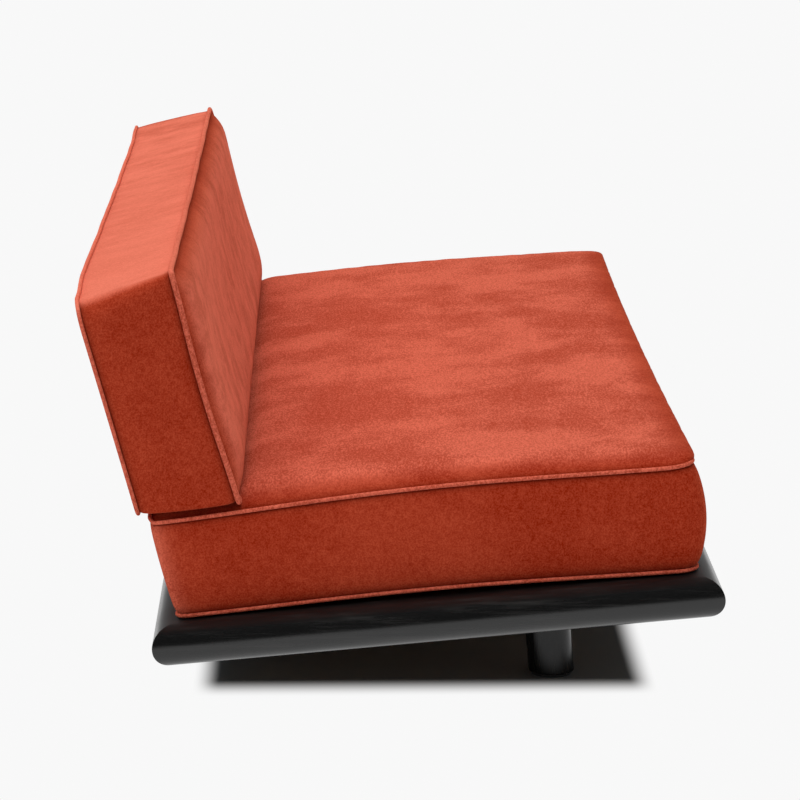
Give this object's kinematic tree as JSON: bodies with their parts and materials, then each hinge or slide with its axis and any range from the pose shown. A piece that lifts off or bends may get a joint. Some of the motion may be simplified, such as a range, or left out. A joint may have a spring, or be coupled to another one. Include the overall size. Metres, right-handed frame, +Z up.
{
  "type": "three-seater sofa",
  "caption": "Low armless sofa: a raked black wood platform on short round legs carries one long piped seat cushion and one long piped back cushion, in rust velvet.",
  "frame": {"origin": "on the floor, at the middle of the sofa's outline seen from above", "axes": "+X along the sofa, to the right of a person who sits on it facing the front; -Y to the front, +Z up. Left in the node names is -X"},
  "size_m": [2.19, 1.0001, 0.6918],
  "materials": {
    "velvet": "rust velvet with a soft brushed pile",
    "velvet_piping": "self piping in the same velvet",
    "zip_tape": "woven zip tape",
    "foam": "open-cell foam",
    "black_wood": "black stain under satin lacquer, grain showing",
    "beech": "plain sanded beech",
    "plywood": "plain plywood",
    "black_steel": "black powder coat",
    "zinc_plate": "zinc plate",
    "glide_nylon": "black nylon"
  },
  "bodies": {
    "base": {"front_rail": "black_wood", "rear_rail": "black_wood", "left_end_rail": "black_wood", "right_end_rail": "black_wood", "mitre_spline_front_left": "beech", "mitre_spline_rear_left": "beech", "mitre_spline_front_right": "beech", "mitre_spline_rear_right": "beech", "corner_block_front_left": "beech", "corner_block_rear_left": "beech", "corner_block_front_right": "beech", "corner_block_rear_right": "beech", "leg_bearer_front_left": "beech", "leg_bearer_rear_left": "beech", "leg_bearer_front_right": "beech", "leg_bearer_rear_right": "beech", "seat_slat_01": "beech", "seat_slat_02": "beech", "seat_slat_03": "beech", "seat_slat_04": "beech", "seat_slat_05": "beech", "seat_slat_06": "beech", "seat_slat_07": "beech", "seat_slat_08": "beech", "seat_slat_09": "beech", "seat_slat_10": "beech", "leg_front_left": "black_wood", "leg_rear_left": "black_wood", "leg_front_right": "black_wood", "leg_rear_right": "black_wood", "leg_bolt_front_left": "zinc_plate", "leg_bolt_rear_left": "zinc_plate", "leg_bolt_front_right": "zinc_plate", "leg_bolt_rear_right": "zinc_plate", "leg_glide_front_left": "glide_nylon", "leg_glide_rear_left": "glide_nylon", "leg_glide_front_right": "glide_nylon", "leg_glide_rear_right": "glide_nylon", "back_bracket_left": "black_steel", "back_bracket_centre": "black_steel", "back_bracket_right": "black_steel", "bracket_screw_left_a": "zinc_plate", "bracket_screw_left_b": "zinc_plate", "bracket_screw_centre_a": "zinc_plate", "bracket_screw_centre_b": "zinc_plate", "bracket_screw_right_a": "zinc_plate", "bracket_screw_right_b": "zinc_plate"},
    "seat": {"seat_cover": "velvet", "seat_foam": "foam", "seat_piping_top": "velvet_piping", "seat_piping_bottom": "velvet_piping", "seat_zip": "zip_tape"},
    "back": {"back_cover": "velvet", "back_foam": "foam", "back_panel": "plywood", "back_board": "plywood", "back_piping_front": "velvet_piping", "back_piping_rear": "velvet_piping", "back_zip": "zip_tape"}
  },
  "joints": [
    {"name": "back_lift", "type": "slide", "parent": "base", "child": "back", "axis": [0, 0.2689, 0.9632], "range_m": [0, 0.3]},
    {"name": "seat_draw", "type": "slide", "parent": "base", "child": "seat", "axis": [0, -0.9962, 0.0872], "range_m": [0, 0.9]}
  ]
}
